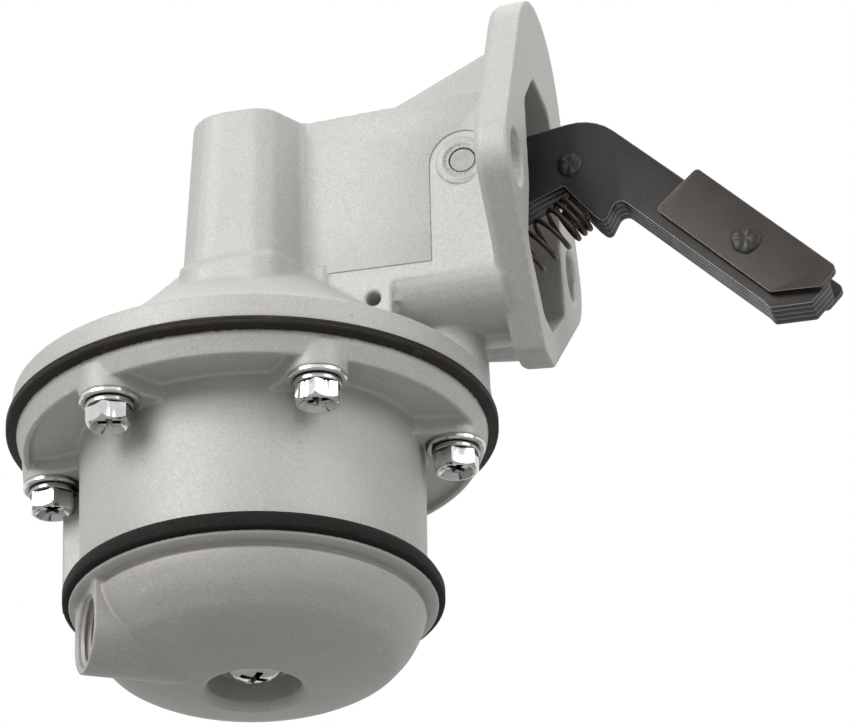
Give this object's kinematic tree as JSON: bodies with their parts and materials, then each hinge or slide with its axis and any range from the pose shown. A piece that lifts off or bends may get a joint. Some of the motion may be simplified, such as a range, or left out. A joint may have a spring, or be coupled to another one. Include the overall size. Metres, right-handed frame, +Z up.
{
  "type": "mechanical fuel pump",
  "caption": "Engine-driven diaphragm fuel pump with a die-cast body, kite-shaped mounting flange, riveted rocker arm, domed cover and side fuel ports",
  "frame": {"origin": "midway between the two mounting bolt holes, on the flange face that meets the engine", "axes": "+X points into the engine, square to the flange face; +Z points up along the pump axis, from the cover to the top of the flange; +Y runs through both mounting bolt holes, away from the side with the inlet port"},
  "size_m": [0.1636, 0.095, 0.1393],
  "materials": {
    "housing_casting": "matte die casting, tumbled",
    "valve_body_casting": "matte die casting, tumbled",
    "cover_casting": "matte die casting, tumbled",
    "gasket_rubber": "matte black rubber",
    "diaphragm_fabric": "rubberised fabric, dark brown black",
    "plate_steel": "zinc plated pressing",
    "rod_steel": "turned steel",
    "seal_rubber": "matte black rubber",
    "spring_steel": "oiled spring wire",
    "valve_brass": "pressed brass",
    "valve_plastic": "moulded disc",
    "washer_zinc": "bright zinc plate",
    "lock_washer_steel": "bright zinc plate",
    "screw_zinc": "bright zinc plate",
    "arm_black_steel": "black oxide stamping",
    "pad_steel": "black oxide stamping",
    "rivet_steel": "peened rivet",
    "pin_steel": "ground steel",
    "link_steel": "oiled stamping",
    "arm_spring_steel": "dark oil tempered wire"
  },
  "bodies": {
    "housing": {"upper_housing": "housing_casting", "valve_body": "valve_body_casting", "inlet_cover": "cover_casting", "cover_gasket": "gasket_rubber", "diaphragm": "diaphragm_fabric", "oil_seal": "seal_rubber", "seal_retainer": "plate_steel", "diaphragm_spring": "spring_steel", "inlet_valve_seat": "valve_brass", "inlet_valve_cage": "valve_brass", "inlet_valve_spring": "spring_steel", "outlet_valve_seat": "valve_brass", "outlet_valve_cage": "valve_brass", "outlet_valve_spring": "spring_steel", "flange_plain_washers": "washer_zinc", "flange_lock_washers": "lock_washer_steel", "flange_screws": "screw_zinc", "cover_screw_washer": "washer_zinc", "cover_screw": "screw_zinc", "pivot_pin": "pin_steel", "rocker_return_spring": "arm_spring_steel"},
    "rocker": {"arm_lamination_1": "arm_black_steel", "arm_lamination_2": "arm_black_steel", "arm_lamination_3": "arm_black_steel", "arm_lamination_4": "arm_black_steel", "wear_pad_near": "pad_steel", "wear_pad_far": "pad_steel", "pad_rivet": "rivet_steel", "arm_rivet": "rivet_steel", "rocker_bushing": "pin_steel"},
    "link": {"link_lever": "link_steel"},
    "diaphragm_centre": {"diaphragm_upper_plate": "plate_steel", "diaphragm_lower_plate": "plate_steel", "pull_rod": "rod_steel"},
    "inlet_disc": {"inlet_valve_disc": "valve_plastic"},
    "outlet_disc": {"outlet_valve_disc": "valve_plastic"}
  },
  "joints": [
    {"name": "rocker_hinge", "type": "hinge", "parent": "housing", "child": "rocker", "pos_m": [-0.0126, 0, 0.0059], "axis": [0, 1, 0], "range_deg": [0, 7], "stiffness_Nm_per_rad": 2, "springref_deg": -8.59, "deforming": ["rocker_return_spring"]},
    {"name": "link_hinge", "type": "hinge", "parent": "housing", "child": "link", "pos_m": [-0.0126, 0, 0.0059], "axis": [0, 1, 0], "range_deg": [0, 7]},
    {"name": "diaphragm_stroke", "type": "slide", "parent": "housing", "child": "diaphragm_centre", "axis": [0, 0, 1], "range_m": [0, 0.0058], "deforming": ["diaphragm", "diaphragm_spring"]},
    {"name": "inlet_valve_lift", "type": "slide", "parent": "housing", "child": "inlet_disc", "axis": [0, 0, 1], "range_m": [0, 0.0015], "stiffness_N_per_m": 20, "springref_m": -0.002, "deforming": ["inlet_valve_spring"]},
    {"name": "outlet_valve_lift", "type": "slide", "parent": "housing", "child": "outlet_disc", "axis": [0, 0, -1], "range_m": [0, 0.0015], "stiffness_N_per_m": 20, "springref_m": -0.002, "deforming": ["outlet_valve_spring"]}
  ],
  "couplings": [
    {"joint": "link_hinge", "follows": "rocker_hinge", "ratio": 1},
    {"joint": "diaphragm_stroke", "follows": "rocker_hinge", "m_per_rad": 0.0467}
  ]
}
